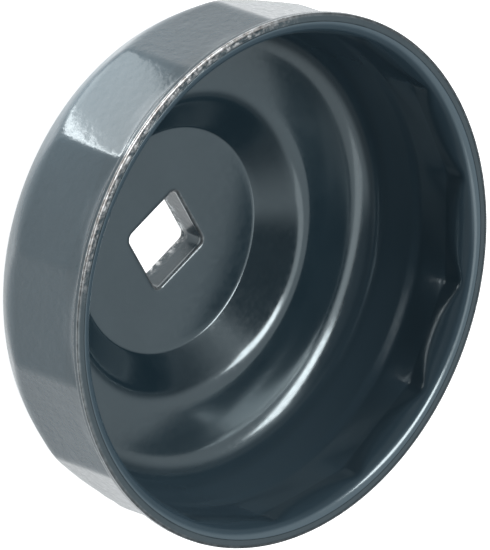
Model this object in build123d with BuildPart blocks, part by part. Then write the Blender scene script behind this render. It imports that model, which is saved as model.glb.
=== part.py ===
"""Cap-type oil filter wrench: one deep-drawn steel cup with fourteen flats inside its wall,
a flared lip, a stepped base and a square hole for a ratchet.

Frame: millimetres, +Z up out of the mouth, origin at the centre of the drive collar's end
face, and the sides of the square hole along X and Y.
"""

import os
from math import cos, pi, radians, tan

from build123d import *

os.makedirs("parts", exist_ok=True)

# Driving dimensions.
flat_count = 14
across_flats = 65.0  # between opposite flats inside, the filter's own size
wall = 1.65  # the side wall, thinned by drawing
sheet = 2.0  # the base, at the sheet's full thickness

lip_overhang = 1.85  # how far the lip stands out past the flats outside
lip_width = 2.1  # the trimmed ring on top
lip_land = 0.9  # height of the trimmed edge outside
flare_height = 4.2  # the lip curls outwards over this height
lip_edge_radius = 0.2

shelf_depth = 18.8  # lip to the ring-shaped shelf of the base
well_depth = 23.1  # lip to the floor of the central well
well_floor_diameter = 30.6
well_slope = 40.0  # degrees from the floor
well_corner_radius = 0.6  # where the floor turns up
shoulder_radius = 3.4  # where the slope rounds over onto the shelf
base_rounding = 4.4  # inside, where the shelf turns up into the wall
base_relief = 0.4  # the round base is this much inside the flats

inner_run_out = 15.0  # degrees from the wall, where the flats run out inside
outer_run_out = 28.0  # the same outside
inner_corner_radius = 1.0  # between two flats
outer_corner_radius = inner_corner_radius + wall
corner_angle = -45.0  # one corner lies on a diagonal of the square hole

drive_side = 9.7  # 3/8 in square with its running clearance
drive_depth = 4.3  # well floor to the end of the collar
drive_corner_radius = 1.0
drive_entry_radius = 0.45
collar_wall = 1.4
collar_root_radius = 0.8
collar_end_chamfer = 0.3

overcut = 1.0  # how far a cut runs past the face it opens

# Levels, from the collar's end face.
floor_z = drive_depth
lip_z = floor_z + well_depth
shelf_z = lip_z - shelf_depth
flare_z = lip_z - flare_height
boss_z = floor_z - sheet

# Radii.
inner_apothem = across_flats / 2
outer_apothem = inner_apothem + wall
corner_ratio = 1 / cos(pi / flat_count)
shelf_radius = inner_apothem - base_relief - base_rounding
well_radius = well_floor_diameter / 2
shoulder_start = well_radius + (shelf_z - floor_z) / tan(radians(well_slope))
lip_radius = outer_apothem + lip_overhang
mouth_radius = lip_radius - lip_width


def base_outline(drop, rounding, run_out, apothem, top_z):
    """Half section of the stepped base and round wall, a distance drop outside the cavity's."""
    fold = drop * tan(radians(well_slope / 2))
    ring_z = shelf_z - drop
    turn_r = shelf_radius + rounding * tan(radians(45 - run_out / 2))
    rim_r = apothem * corner_ratio
    rim_z = ring_z + (rim_r - turn_r) / tan(radians(run_out))
    points = [
        (0, floor_z - drop),
        (well_radius + fold, floor_z - drop),
        (shoulder_start + fold, ring_z),
        (turn_r, ring_z),
        (rim_r, rim_z),
        (rim_r, top_z),
    ]
    return points, [well_corner_radius + drop, shoulder_radius - drop, rounding, 0]


def flare_outline(apothem, end_radius, end_z, top_z):
    """Half section of the trumpet-shaped lip: an arc from the flats, then straight up."""
    TangentArc((apothem, flare_z), (end_radius, end_z), tangent=(0, 1))
    Polyline((end_radius, end_z), (end_radius, top_z), (0, top_z), (0, flare_z), (apothem, flare_z))


# The cavity: a round punch with fourteen flats, opening into the trumpet of the lip.
with BuildPart() as cavity:
    top = lip_z + overcut
    with BuildSketch(Plane.XZ):
        with BuildLine():
            outline, bends = base_outline(0, base_rounding, inner_run_out, inner_apothem, top)
            FilletPolyline(*outline, radius=bends)
            Polyline(outline[-1], (0, top), outline[0])
        make_face()
    revolve(axis=Axis.Z)
    with BuildSketch(Plane.XY):
        RegularPolygon(inner_apothem, flat_count, major_radius=False, rotation=corner_angle)
        fillet(vertices(), inner_corner_radius)
    extrude(amount=top, mode=Mode.INTERSECT)
    with BuildSketch(Plane.XZ):
        with BuildLine():
            flare_outline(inner_apothem, mouth_radius, lip_z, top)
        make_face()
    revolve(axis=Axis.Z)

# The cup: the same shape one sheet thickness further out, less the cavity.
with BuildPart() as wrench_cup:
    with BuildSketch(Plane.XZ):
        with BuildLine():
            outline, bends = base_outline(
                sheet, base_rounding + sheet, outer_run_out, outer_apothem, lip_z
            )
            FilletPolyline(*outline, radius=bends)
            Polyline(outline[-1], (0, lip_z), outline[0])
        make_face()
    revolve(axis=Axis.Z)
    with BuildSketch(Plane.XY):
        RegularPolygon(outer_apothem, flat_count, major_radius=False, rotation=corner_angle)
        fillet(vertices(), outer_corner_radius)
    extrude(amount=lip_z, mode=Mode.INTERSECT)
    with BuildSketch(Plane.XZ):
        with BuildLine():
            flare_outline(outer_apothem, lip_radius, lip_z - lip_land, lip_z)
        make_face()
    revolve(axis=Axis.Z)
    add(cavity.part, mode=Mode.SUBTRACT)
    fillet(faces().sort_by(Axis.Z)[-1].edges(), lip_edge_radius)

    # Drive collar: sheet pushed out round the square hole.
    with BuildSketch(Plane.XY):
        collar_side = drive_side + 2 * collar_wall
        RectangleRounded(collar_side, collar_side, drive_corner_radius + collar_wall)
    extrude(amount=boss_z)
    fillet(edges(Select.LAST).group_by(Axis.Z)[-1], collar_root_radius)
    with BuildSketch(Plane.XY):
        RectangleRounded(drive_side, drive_side, drive_corner_radius)
    extrude(amount=floor_z, mode=Mode.SUBTRACT)
    fillet(edges(Select.LAST).group_by(Axis.Z)[-1], drive_entry_radius)
    collar_end = faces().sort_by(Axis.Z)[0]
    chamfer(collar_end.outer_wire().edges(), collar_end_chamfer)

wrench_cup.part.label = "wrench_cup"
export_step(wrench_cup.part, "parts/wrench_cup.step")
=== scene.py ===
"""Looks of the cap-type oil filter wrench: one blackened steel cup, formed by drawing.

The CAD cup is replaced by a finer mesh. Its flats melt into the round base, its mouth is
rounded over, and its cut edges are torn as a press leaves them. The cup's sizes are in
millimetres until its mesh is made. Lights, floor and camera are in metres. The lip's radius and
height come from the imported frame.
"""

from math import atan, ceil, cos, hypot, pi, radians, sin, tan

import bpy
import numpy as np
from mathutils import Matrix, Vector


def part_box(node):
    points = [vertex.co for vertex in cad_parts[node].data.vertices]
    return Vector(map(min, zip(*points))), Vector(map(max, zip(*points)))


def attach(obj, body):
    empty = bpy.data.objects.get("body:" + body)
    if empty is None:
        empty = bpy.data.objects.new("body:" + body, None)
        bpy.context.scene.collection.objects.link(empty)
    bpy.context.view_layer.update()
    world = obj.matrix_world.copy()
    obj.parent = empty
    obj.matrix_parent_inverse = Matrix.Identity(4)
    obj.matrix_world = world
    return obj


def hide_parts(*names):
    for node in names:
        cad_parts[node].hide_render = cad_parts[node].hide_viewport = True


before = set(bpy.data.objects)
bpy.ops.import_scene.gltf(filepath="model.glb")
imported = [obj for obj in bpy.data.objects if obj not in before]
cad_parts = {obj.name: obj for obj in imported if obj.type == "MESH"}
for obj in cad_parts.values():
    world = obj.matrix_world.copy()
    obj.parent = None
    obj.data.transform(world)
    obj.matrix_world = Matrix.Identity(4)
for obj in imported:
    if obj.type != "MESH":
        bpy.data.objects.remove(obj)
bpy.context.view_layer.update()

MM = 0.001
low, high = (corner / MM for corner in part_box("wrench_cup"))

# The cup's own sizes, as in the CAD model.
FLATS = 14
CORNER_ANGLE = radians(-45)
ACROSS_FLATS = 65.0
WALL = 1.65
SHEET = 2.0
LIP_LAND = 0.9
FLARE_HEIGHT = 4.2
SHELF_DEPTH = 18.8
WELL_DEPTH = 23.1
WELL_RADIUS = 15.3
WELL_SLOPE = radians(40)
WELL_CORNER = 0.6
SHOULDER = 3.4
BASE_ROUNDING = 4.4
BASE_RELIEF = 0.4
INNER_RUN_OUT = radians(15)
OUTER_RUN_OUT = radians(28)
INNER_CORNER = 1.0
DRIVE_SIDE = 9.7
DRIVE_CORNER = 1.0
DRIVE_ENTRY = 0.45
COLLAR_WALL = 1.4
COLLAR_ROOT = 0.8
COLLAR_CHAMFER = 0.3

# What the CAD model leaves plain.
MOUTH_ROUNDING = 1.5
MOUTH_TURN = radians(30)  # from the axis, where the flare tightens into the rounding
SOFT_CORNER = 3.6  # between two flats inside
BASE_CREASE = 1.8  # how softly the flats inside run out into the base
EDGE_CREASE = 0.3  # the same outside
FLARE_CREASE = 0.2
MELT_HEIGHT = 5.0  # the flats inside fade to round over this height
MOST_MELTED = 0.92
TORN_BAND = 0.6  # width of the torn part of the lip
TORN_MIDDLE = radians(-82)  # the lip is torn roughest round here, smooth on the other side
TORN_HALF = radians(37)

LIP_R = (high.x - low.x) / 2
LIP_Z = high.z
LIP_EASE = 0.04  # the lip's trimmed edge stands this far past the flare
FLOOR_Z = LIP_Z - WELL_DEPTH
SHELF_Z = LIP_Z - SHELF_DEPTH
FLARE_Z = LIP_Z - FLARE_HEIGHT
BOSS_Z = FLOOR_Z - SHEET
INNER_APOTHEM = ACROSS_FLATS / 2
OUTER_APOTHEM = INNER_APOTHEM + WALL
OUTER_CORNER = INNER_CORNER + WALL
SHELF_R = INNER_APOTHEM - BASE_RELIEF - BASE_ROUNDING

COLUMNS = FLATS * 32
ANGLE = np.arange(COLUMNS) * 2 * pi / COLUMNS
EVEN = np.ones(COLUMNS)


# ---- Outlines seen along the axis: distance from the axis at every column's angle ----

def polygon(apothem, corner, sides, corner_angle):
    """A regular polygon with rounded corners."""
    half = pi / sides
    turn = np.mod(ANGLE - corner_angle, 2 * half) - half
    away = half - np.abs(turn)
    centre = (apothem - corner) / cos(half)
    flat_end = atan((apothem - corner) * tan(half) / apothem)
    flat = apothem / np.cos(turn)
    inside = np.maximum(corner**2 - (centre * np.sin(away)) ** 2, 0)
    rounded = centre * np.cos(away) + np.sqrt(inside)
    return np.where(np.abs(turn) > flat_end, rounded, flat)


def square(side, corner):
    return polygon(side / 2, corner, 4, pi / 4)


def soft_min(a, b, width):
    """The smaller of two distances, with a crease of that width where they cross."""
    share = np.clip(0.5 + 0.5 * (b - a) / width, 0, 1)
    return b + (a - b) * share - width * share * (1 - share)


def soft_max(a, b, width):
    return -soft_min(-a, -b, width)


# ---- Half sections: lists of (distance from the axis, height) ----

def rounded_path(points, radii, arc_step=radians(7), line_step=0.9):
    """Points along straight runs whose corners are rounded by these radii."""
    path = [points[0]]
    for before, at, after, radius in zip(points, points[1:], points[2:], radii):
        a = Vector(before) - Vector(at)
        b = Vector(after) - Vector(at)
        a.normalize()
        b.normalize()
        bend = pi - a.angle(b)
        if radius <= 0 or bend < 1e-6:
            path.append(at)
            continue
        middle = Vector(at) + (a + b).normalized() * radius / cos(bend / 2)
        start = Vector(at) + a * radius * tan(bend / 2) - middle
        end = Vector(at) + b * radius * tan(bend / 2) - middle
        count = max(3, ceil(bend / arc_step))
        for i in range(count + 1):
            t = i / count
            arm = start * sin((1 - t) * bend) / sin(bend) + end * sin(t * bend) / sin(bend)
            path.append(tuple(middle + arm))
    path.append(points[-1])
    return divided(path, line_step)


def divided(path, line_step):
    """The path with its longer runs split into steps."""
    fine = [path[0]]
    for (r0, z0), (r1, z1) in zip(path, path[1:]):
        count = max(1, ceil(hypot(r1 - r0, z1 - z0) / line_step))
        fine += [(r0 + (r1 - r0) * i / count, z0 + (z1 - z0) * i / count)
                 for i in range(1, count + 1)]
    return fine


def base_path(drop, rounding, run_out, apothem):
    """From the well's floor out to the foot of the flats, a distance drop below the cavity."""
    fold = drop * tan(WELL_SLOPE / 2)
    ring_z = SHELF_Z - drop
    slope_run = (SHELF_Z - FLOOR_Z) / tan(WELL_SLOPE)
    turn_r = SHELF_R + rounding * tan(pi / 4 - run_out / 2)
    rim_r = apothem / cos(pi / FLATS)
    rim_z = ring_z + (rim_r - turn_r) / tan(run_out)
    points = [
        (WELL_RADIUS + fold - 4, FLOOR_Z - drop),
        (WELL_RADIUS + fold, FLOOR_Z - drop),
        (WELL_RADIUS + fold + slope_run, ring_z),
        (turn_r, ring_z),
        (rim_r, rim_z),
    ]
    return rounded_path(points, [WELL_CORNER + drop, SHOULDER - drop, rounding])


def inner_flare():
    """Bell mouth: a wide curve that tightens until it lies level with the lip."""
    wide = 2 * FLARE_HEIGHT - MOUTH_ROUNDING
    path = [(INNER_APOTHEM + wide * (1 - cos(t)), FLARE_Z + wide * sin(t))
            for t in np.linspace(0, MOUTH_TURN, 10)]
    centre_r = path[-1][0] + MOUTH_ROUNDING * cos(MOUTH_TURN)
    path += [(centre_r - MOUTH_ROUNDING * cos(t), LIP_Z - MOUTH_ROUNDING * (1 - sin(t)))
             for t in np.linspace(MOUTH_TURN + radians(6), pi / 2, 10)]
    return path


def outer_flare():
    """One curve from the flats to the land of the lip."""
    rise, height = LIP_R - LIP_EASE - OUTER_APOTHEM, FLARE_HEIGHT - LIP_LAND
    bow = (rise**2 + height**2) / (2 * rise)
    sweep = np.arcsin(height / bow)
    return [(OUTER_APOTHEM + bow * (1 - cos(t)), FLARE_Z + bow * sin(t))
            for t in np.linspace(0, sweep, 12)]


# ---- Rows of the mesh: each is one loop round the axis ----

class Rows:
    """Loops of vertices with what the material has to know about them."""

    def __init__(self):
        self.points = []
        # One of the marks is painted light: the share of the lighter coat painted on the walls.
        self.marks = {"torn": [], "outside": [], "worn": [], "drawn": []}

    def add(self, radius, height, torn=0.0, outside=0.0, worn=0.0, drawn=0.0):
        radius = radius * EVEN
        self.points.append(np.stack(
            [radius * np.cos(ANGLE), radius * np.sin(ANGLE), height * EVEN], axis=1))
        for name, value in (("torn", torn), ("outside", outside), ("worn", worn), ("drawn", drawn)):
            self.marks[name].append(value * EVEN)


def add_floor(rows, outline, end_r, z, count=12):
    """A flat ring whose inner edge is the outline and whose outer edge is round."""
    for i in range(1, count + 1):
        t = i / count
        rows.add(outline * (1 - t) + end_r * t, z)


def add_wall(rows, path, apothem, corner, flare, crease, outside):
    """From the base's path up the flats and out along the flare."""
    flats = polygon(apothem, corner, FLATS, CORNER_ANGLE)

    def wall(z):
        melted = 0.0 if outside else min(MOST_MELTED, max(0.0, (FLARE_Z + 0.5 - z) / MELT_HEIGHT))
        return flats * (1 - melted) + flats.mean() * melted

    # The walls carry the mark for painted light that lightens the coat: it fades out down the base, is
    # full on the flats and is 0.7 on the flare.
    for r, z in path:
        share = min(1.0, max(0.0, (z - SHELF_Z) / BASE_ROUNDING))
        rows.add(soft_min(r * EVEN, wall(z), crease), z, outside=share * outside, drawn=share)
    for _, z in divided([(0, path[-1][1]), (0, FLARE_Z - 0.3)], 0.8)[1:]:
        rows.add(wall(z), z, outside=outside, drawn=1.0)
    for r, z in flare:
        rows.add(soft_max(flats, r * EVEN, FLARE_CREASE), z, outside=outside, drawn=0.7)


def add_inside(rows):
    """Rounded edge of the hole, well, shelf, flats and flare."""
    for i in range(5):
        t = i / 4 * pi / 2
        entry = square(DRIVE_SIDE + 2 * DRIVE_ENTRY * (1 - cos(t)),
                       DRIVE_CORNER + DRIVE_ENTRY * (1 - cos(t)))
        rows.add(entry, FLOOR_Z - DRIVE_ENTRY * (1 - sin(t)), worn=0.25 * sin(2 * t))
    inside = base_path(0, BASE_ROUNDING, INNER_RUN_OUT, INNER_APOTHEM)
    add_floor(rows, entry, inside[0][0], FLOOR_Z)
    add_wall(rows, inside[1:], INNER_APOTHEM, SOFT_CORNER, inner_flare(), BASE_CREASE, 0.0)


def add_lip(rows, rng):
    """The top of the lip, a band torn by the press, then the trimmed land outside."""
    turn = np.abs(np.mod(ANGLE - TORN_MIDDLE + pi, 2 * pi) - pi)
    coarse = np.clip((TORN_HALF - turn) / radians(14) + 0.5, 0.0, 1)
    rows.add(LIP_R - 1.24, LIP_Z - 0.01)
    rows.add(LIP_R - 1.17, LIP_Z - 0.10 * coarse, outside=0.5)
    for share in np.linspace(0, 1, 6):
        pits = np.repeat(rng.uniform(0, 0.1, COLUMNS // 2), 2) * coarse
        rows.add(LIP_R - 1.08 + TORN_BAND * share, LIP_Z - 0.03 * coarse - pits,
                 torn=(0.35 + 0.65 * share) * coarse)
    rows.add(LIP_R - 0.4, LIP_Z - 0.02, worn=0.1 + 0.9 * coarse)
    rows.add(LIP_R - 0.1, LIP_Z - 0.06, worn=0.2 + 0.8 * coarse)
    rows.add(LIP_R - 0.01, LIP_Z - 0.2, worn=0.3 + 0.7 * coarse)
    for z in (LIP_Z - 0.35, LIP_Z - 0.6, LIP_Z - LIP_LAND + 0.12):
        rows.add(LIP_R, z, outside=1.0)
    rows.add(LIP_R - 0.02, LIP_Z - LIP_LAND + 0.03, outside=1.0, worn=0.3)


def add_outside(rows):
    """Flare, flats and base outside, built upwards and taken in reverse."""
    outer = Rows()
    outside = base_path(SHEET, BASE_ROUNDING + SHEET, OUTER_RUN_OUT, OUTER_APOTHEM)
    add_wall(outer, outside, OUTER_APOTHEM, OUTER_CORNER, outer_flare(), EDGE_CREASE, 1.0)
    rows.points += outer.points[::-1]
    for name in rows.marks:
        rows.marks[name] += outer.marks[name][::-1]
    return outside[0][0]


def add_collar(rows, boss_r):
    """The flat boss from that radius inwards, and the drive collar below it."""
    collar = DRIVE_SIDE + 2 * COLLAR_WALL
    corner = DRIVE_CORNER + COLLAR_WALL
    root = square(collar + 2 * COLLAR_ROOT, corner + COLLAR_ROOT)
    for i in range(10, 0, -1):
        t = i / 10
        rows.add(root * (1 - t) + boss_r * t, BOSS_Z)
    for i in range(6):
        t = i / 5 * pi / 2
        out = COLLAR_ROOT * (1 - sin(t))
        rows.add(square(collar + 2 * out, corner + out), BOSS_Z - COLLAR_ROOT * (1 - cos(t)))
    rows.add(square(collar, corner), COLLAR_CHAMFER + 0.05)
    rows.add(square(collar - 0.1, corner - 0.05), COLLAR_CHAMFER * 0.6, worn=0.7)
    rows.add(square(collar - 2 * COLLAR_CHAMFER, corner - COLLAR_CHAMFER), 0.02, worn=1.0)
    for t in (0.25, 0.5, 0.75):
        inward = COLLAR_CHAMFER + t * 0.8
        rows.add(square(collar - 2 * inward, corner - inward), 0, torn=0.3)


def add_hole(rows, rng):
    """The wall of the square hole, torn at its far end."""
    hole = square(DRIVE_SIDE, DRIVE_CORNER)
    rows.add(hole + 0.1, 0, worn=0.8, torn=0.5)
    rows.add(hole + 0.02, 0.08, worn=0.8, torn=0.8)
    for z in np.linspace(0.3, FLOOR_Z - DRIVE_ENTRY - 0.2, 14):
        tear = max(0.0, 0.8 - z / (0.45 * FLOOR_Z))
        dents = np.repeat(rng.uniform(0, 0.07, COLUMNS // 2), 2) * tear
        rows.add(hole + dents, z, torn=tear, outside=1.0)


def cup_rows():
    """The whole closed skin: up the inside, over the lip, down the outside, through the hole."""
    rng = np.random.default_rng(7)
    rows = Rows()
    add_inside(rows)
    add_lip(rows, rng)
    boss_r = add_outside(rows)
    add_collar(rows, boss_r)
    add_hole(rows, rng)
    return rows


def mesh_of(rows, name):
    """A closed mesh of quads over the rows, which join end to end."""
    count = len(rows.points)
    points = np.concatenate(rows.points) * MM
    row, column = np.meshgrid(np.arange(count), np.arange(COLUMNS), indexing="ij")
    next_row, next_column = (row + 1) % count, (column + 1) % COLUMNS
    quads = np.stack([row * COLUMNS + column, row * COLUMNS + next_column,
                      next_row * COLUMNS + next_column, next_row * COLUMNS + column], axis=-1)
    mesh = bpy.data.meshes.new(name)
    mesh.from_pydata(points.tolist(), [], quads.reshape(-1, 4).tolist())
    for mark, values in rows.marks.items():
        layer = mesh.attributes.new(mark, "FLOAT", "POINT")
        layer.data.foreach_set("value", np.concatenate(values))
    mesh.shade_smooth()
    mesh.update()
    cup = bpy.data.objects.new(name, mesh)
    bpy.context.collection.objects.link(cup)
    return cup


# ---- Materials ----

class Nodes:
    """Short names for building a node material."""

    def __init__(self, name):
        self.material = bpy.data.materials.new(name)
        self.material.use_nodes = True
        self.tree = self.material.node_tree
        self.shader = self.tree.nodes["Principled BSDF"]
        self.place = self.new("ShaderNodeTexCoord").outputs["Object"]

    def new(self, kind, **settings):
        node = self.tree.nodes.new(kind)
        for key, value in settings.items():
            setattr(node, key, value)
        return node

    def link(self, source, target):
        self.tree.links.new(source, target)

    def set(self, socket, value):
        if hasattr(value, "is_output"):
            self.link(value, socket)
        else:
            socket.default_value = value

    def mark(self, name):
        return self.new("ShaderNodeAttribute", attribute_name=name).outputs["Fac"]

    def noise(self, scale, detail=3.0, rough=0.5):
        node = self.new("ShaderNodeTexNoise")
        node.inputs["Scale"].default_value = scale
        node.inputs["Detail"].default_value = detail
        node.inputs["Roughness"].default_value = rough
        self.link(self.place, node.inputs["Vector"])
        return node.outputs["Fac"]

    def math(self, operation, a, b=0.0, clamp=False):
        node = self.new("ShaderNodeMath", operation=operation, use_clamp=clamp)
        self.set(node.inputs[0], a)
        self.set(node.inputs[1], b)
        return node.outputs[0]

    def spread(self, value, low_in, high_in, low_out=0.0, high_out=1.0):
        node = self.new("ShaderNodeMapRange")
        for key, number in zip(("From Min", "From Max", "To Min", "To Max"),
                               (low_in, high_in, low_out, high_out)):
            node.inputs[key].default_value = number
        self.link(value, node.inputs["Value"])
        return node.outputs["Result"]

    def mix(self, share, a, b):
        node = self.new("ShaderNodeMix", data_type="RGBA")
        self.set(node.inputs["Factor"], share)
        self.set(node.inputs["A"], a)
        self.set(node.inputs["B"], b)
        return node.outputs["Result"]


def blackened_steel():
    """Glossy blue-black coat on steel formed by drawing: satin outside, bare and torn where cut, with
    painted light on the walls.
    """
    n = Nodes("blackened_steel")
    torn, outside, worn, drawn = (n.mark(mark) for mark in ("torn", "outside", "worn", "drawn"))
    cloud = n.noise(120, 4.0)
    grain = n.noise(1500, 3.0)
    chips = n.noise(1100, 4.0, 0.6)

    coat = n.mix(n.spread(cloud, 0.35, 0.65), (0.012, 0.026, 0.036, 1), (0.017, 0.033, 0.044, 1))
    # Painted light: the walls are painted a lighter blue-grey, strongly on the inner wall and weakly
    # outside, standing in for light the wall doesn't get.
    painted_light_share = n.math("MULTIPLY", drawn, n.spread(outside, 0, 1, 0.9, 0.2))
    coat = n.mix(painted_light_share, coat, (0.068, 0.110, 0.142, 1))
    flakes = n.spread(chips, 0.42, 0.6)
    bare = n.math("MULTIPLY", torn, flakes, clamp=True)
    rubbed = n.math("MULTIPLY", worn, n.spread(grain, 0.3, 0.7, 0.6, 1.0))
    metal = n.math("MAXIMUM", bare, rubbed, clamp=True)
    steel = n.mix(flakes, (0.42, 0.39, 0.37, 1), (0.86, 0.86, 0.86, 1))
    n.link(n.mix(metal, coat, steel), n.shader.inputs["Base Color"])
    n.link(metal, n.shader.inputs["Metallic"])
    n.shader.inputs["IOR"].default_value = 2.0
    n.shader.inputs["Specular Tint"].default_value = (0.84, 0.96, 1.0, 1)
    n.link(n.spread(outside, 0, 1, 0.5, 0.21), n.shader.inputs["Specular IOR Level"])

    satin = n.spread(grain, 0.3, 0.7, 0.0, 0.08)
    rough = n.math("ADD", 0.13, n.math("MULTIPLY", outside, 0.04))
    rough = n.math("ADD", rough, satin)
    rough = n.math("ADD", rough, n.math("MULTIPLY", metal, 0.18), clamp=True)
    n.link(rough, n.shader.inputs["Roughness"])

    fine_ripple = n.math("MULTIPLY", n.noise(1000, 4.0), 2.6)
    broad_ripple = n.math("MULTIPLY", n.noise(300, 3.0), 2.4)
    ripple = n.math("ADD", fine_ripple, broad_ripple)
    height = n.math("MULTIPLY", ripple, n.spread(outside, 0, 1, 0.06, 1.0))
    height = n.math("ADD", height, n.math("MULTIPLY", chips, n.math("MULTIPLY", torn, 5.0)))
    bump = n.new("ShaderNodeBump")
    bump.inputs["Strength"].default_value = 0.5
    bump.inputs["Distance"].default_value = 0.00004
    n.link(height, bump.inputs["Height"])
    n.link(bump.outputs["Normal"], n.shader.inputs["Normal"])
    return n.material


def table_top():
    """A plain white top that glows a little, as a light table does."""
    n = Nodes("table_top")
    n.shader.inputs["Base Color"].default_value = (0.9, 0.9, 0.9, 1)
    n.shader.inputs["Roughness"].default_value = 0.6
    n.shader.inputs["Emission Color"].default_value = (1, 1, 1, 1)
    n.shader.inputs["Emission Strength"].default_value = 0.95
    return n.material


# ---- The cup ----

cup = mesh_of(cup_rows(), "steel_cup")
cup.data.materials.append(blackened_steel())
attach(cup, "root")
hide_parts("wrench_cup")

# ---- Floor, camera and light ----

bpy.ops.mesh.primitive_plane_add(size=6, location=(0, 0, low.z * MM))
floor = bpy.context.object
floor.name = "floor"
floor.data.materials.append(table_top())

VIEW_AZIMUTH = radians(32.2)
VIEW_ELEVATION = radians(44.94)
VIEW_ROLL = radians(19.3)  # the cup's axis points right and this much down
LENS = 1309.0  # mm, very long, so the cup is seen with next to no perspective
CAMERA_DISTANCE = 72.46  # in lip radii, like the two offsets that centre the picture
CAMERA_LEFT = 0.1425
CAMERA_RAISED = 0.023

back = Vector((sin(VIEW_AZIMUTH) * cos(VIEW_ELEVATION), -cos(VIEW_AZIMUTH) * cos(VIEW_ELEVATION),
               sin(VIEW_ELEVATION)))
level = Vector((cos(VIEW_AZIMUTH), sin(VIEW_AZIMUTH), 0))
upward = back.cross(level)
right = upward * cos(VIEW_ROLL) - level * sin(VIEW_ROLL)
up = -upward * sin(VIEW_ROLL) - level * cos(VIEW_ROLL)
away = Vector((-sin(VIEW_AZIMUTH), cos(VIEW_AZIMUTH), 0))

lip_centre = Vector((0, 0, high.z * MM))
unit = LIP_R * MM
camera_data = bpy.data.cameras.new("camera")
camera_data.sensor_width = 36
camera_data.lens = LENS
camera = bpy.data.objects.new("camera", camera_data)
bpy.context.collection.objects.link(camera)
place = lip_centre + unit * (CAMERA_DISTANCE * back - CAMERA_LEFT * right + CAMERA_RAISED * up)
camera.matrix_world = Matrix.Translation(place) @ Matrix((right, up, back)).transposed().to_4x4()
bpy.context.scene.camera = camera


def card(name, far, across, high_up, width, depth, brightness, start=lip_centre, distance=0.9):
    """A soft box seen from start in a direction given by parts away, across and above."""
    toward = (away * far + level * across + Vector((0, 0, high_up))).normalized()
    side = (level - toward * level.dot(toward)).normalized()
    data = bpy.data.lights.new(name, "AREA")
    data.shape = "RECTANGLE"
    data.size, data.size_y = width, depth
    data.energy = brightness * pi * width * depth
    lamp = bpy.data.objects.new(name, data)
    bpy.context.collection.objects.link(lamp)
    turned = Matrix((side, toward.cross(side), toward)).transposed().to_4x4()
    lamp.matrix_world = Matrix.Translation(start + toward * distance) @ turned
    lamp.visible_camera = False


# Over the mouth, along the cup's axis: the bands on the shoulder and at the wall's foot.
card("over_mouth", -0.08, -0.38, 0.92, 0.50, 0.30, 8.0)
card("over_mouth_wide", 0.0, 0.15, 0.98, 1.0, 0.35, 0.8)

# Low beside the outside: one fills a flat with light, the other lights its lower crease.
FLAT_ANGLE = radians(-83.6)
FLAT_MIDDLE_Z = 19
flat_centre = Vector((OUTER_APOTHEM * cos(FLAT_ANGLE), OUTER_APOTHEM * sin(FLAT_ANGLE), FLAT_MIDDLE_Z))
flat_centre *= MM
card("low_front", -0.46, -0.54, -0.71, 0.013, 0.017, 3.4, flat_centre, 0.019)
card("low_edge", -0.67, -0.19, -0.71, 0.002, 0.018, 16.0, flat_centre, 0.019)


def studio_world():
    """Soft light from above that falls off towards the horizon and on the camera's side."""
    room = bpy.data.worlds.new("room")
    room.use_nodes = True
    tree = room.node_tree
    direction = tree.nodes.new("ShaderNodeTexCoord").outputs["Generated"]
    split = tree.nodes.new("ShaderNodeSeparateXYZ")
    tree.links.new(direction, split.inputs[0])
    facing = tree.nodes.new("ShaderNodeVectorMath")
    facing.operation = "DOT_PRODUCT"
    facing.inputs[1].default_value = back
    tree.links.new(direction, facing.inputs[0])
    parts = []
    from_above = (split.outputs["Z"], 0.5, 0.74, 0.15, 0.8)
    from_camera = (facing.outputs["Value"], 0.72, 0.9, 1.0, 0.12)
    for value, start, end, low_out, high_out in (from_above, from_camera):
        span = tree.nodes.new("ShaderNodeMapRange")
        span.interpolation_type = "SMOOTHSTEP"
        for key, number in zip(("From Min", "From Max", "To Min", "To Max"),
                               (start, end, low_out, high_out)):
            span.inputs[key].default_value = number
        tree.links.new(value, span.inputs["Value"])
        parts.append(span.outputs["Result"])
    both = tree.nodes.new("ShaderNodeMath")
    both.operation = "MULTIPLY"
    tree.links.new(parts[0], both.inputs[0])
    tree.links.new(parts[1], both.inputs[1])
    tree.links.new(both.outputs[0], tree.nodes["Background"].inputs["Strength"])
    tree.nodes["Background"].inputs["Color"].default_value = (0.86, 0.90, 0.92, 1)
    return room


bpy.context.scene.world = studio_world()
bpy.context.scene.view_settings.view_transform = "Standard"
